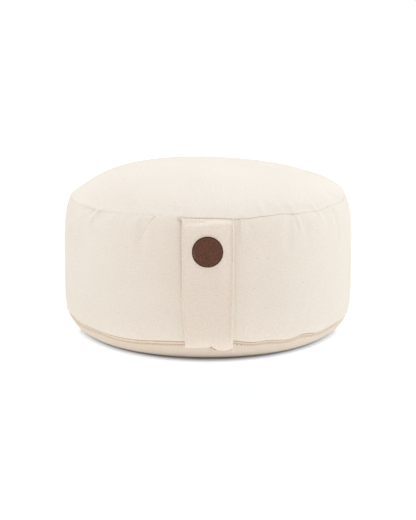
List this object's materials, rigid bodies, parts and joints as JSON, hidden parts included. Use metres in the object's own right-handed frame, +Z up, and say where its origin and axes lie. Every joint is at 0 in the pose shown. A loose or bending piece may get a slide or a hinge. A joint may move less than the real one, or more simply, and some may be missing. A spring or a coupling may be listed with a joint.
{
  "type": "zafu meditation cushion",
  "caption": "Round, firmly filled floor cushion with a crowned top, a drawn-in seam, a wide flat carry strap with a leather patch, and a zip along its lower seam.",
  "frame": {"origin": "middle of the flat base, on the surface that the cushion rests on", "axes": "+Z up, and the carry strap faces -Y"},
  "size_m": [0.33, 0.3346, 0.1995],
  "materials": {
    "canvas": "natural unbleached cotton canvas, plain weave with small seed flecks",
    "strap_canvas": "the same cotton canvas, folded double",
    "leather": "smooth brown leather, cut round, edge-stitched",
    "zip_tape": "woven zip tape, beige"
  },
  "bodies": {
    "root": {"cushion": "canvas", "carry_strap": "strap_canvas", "leather_patch": "leather", "zip_tape": "zip_tape"}
  },
  "joints": []
}
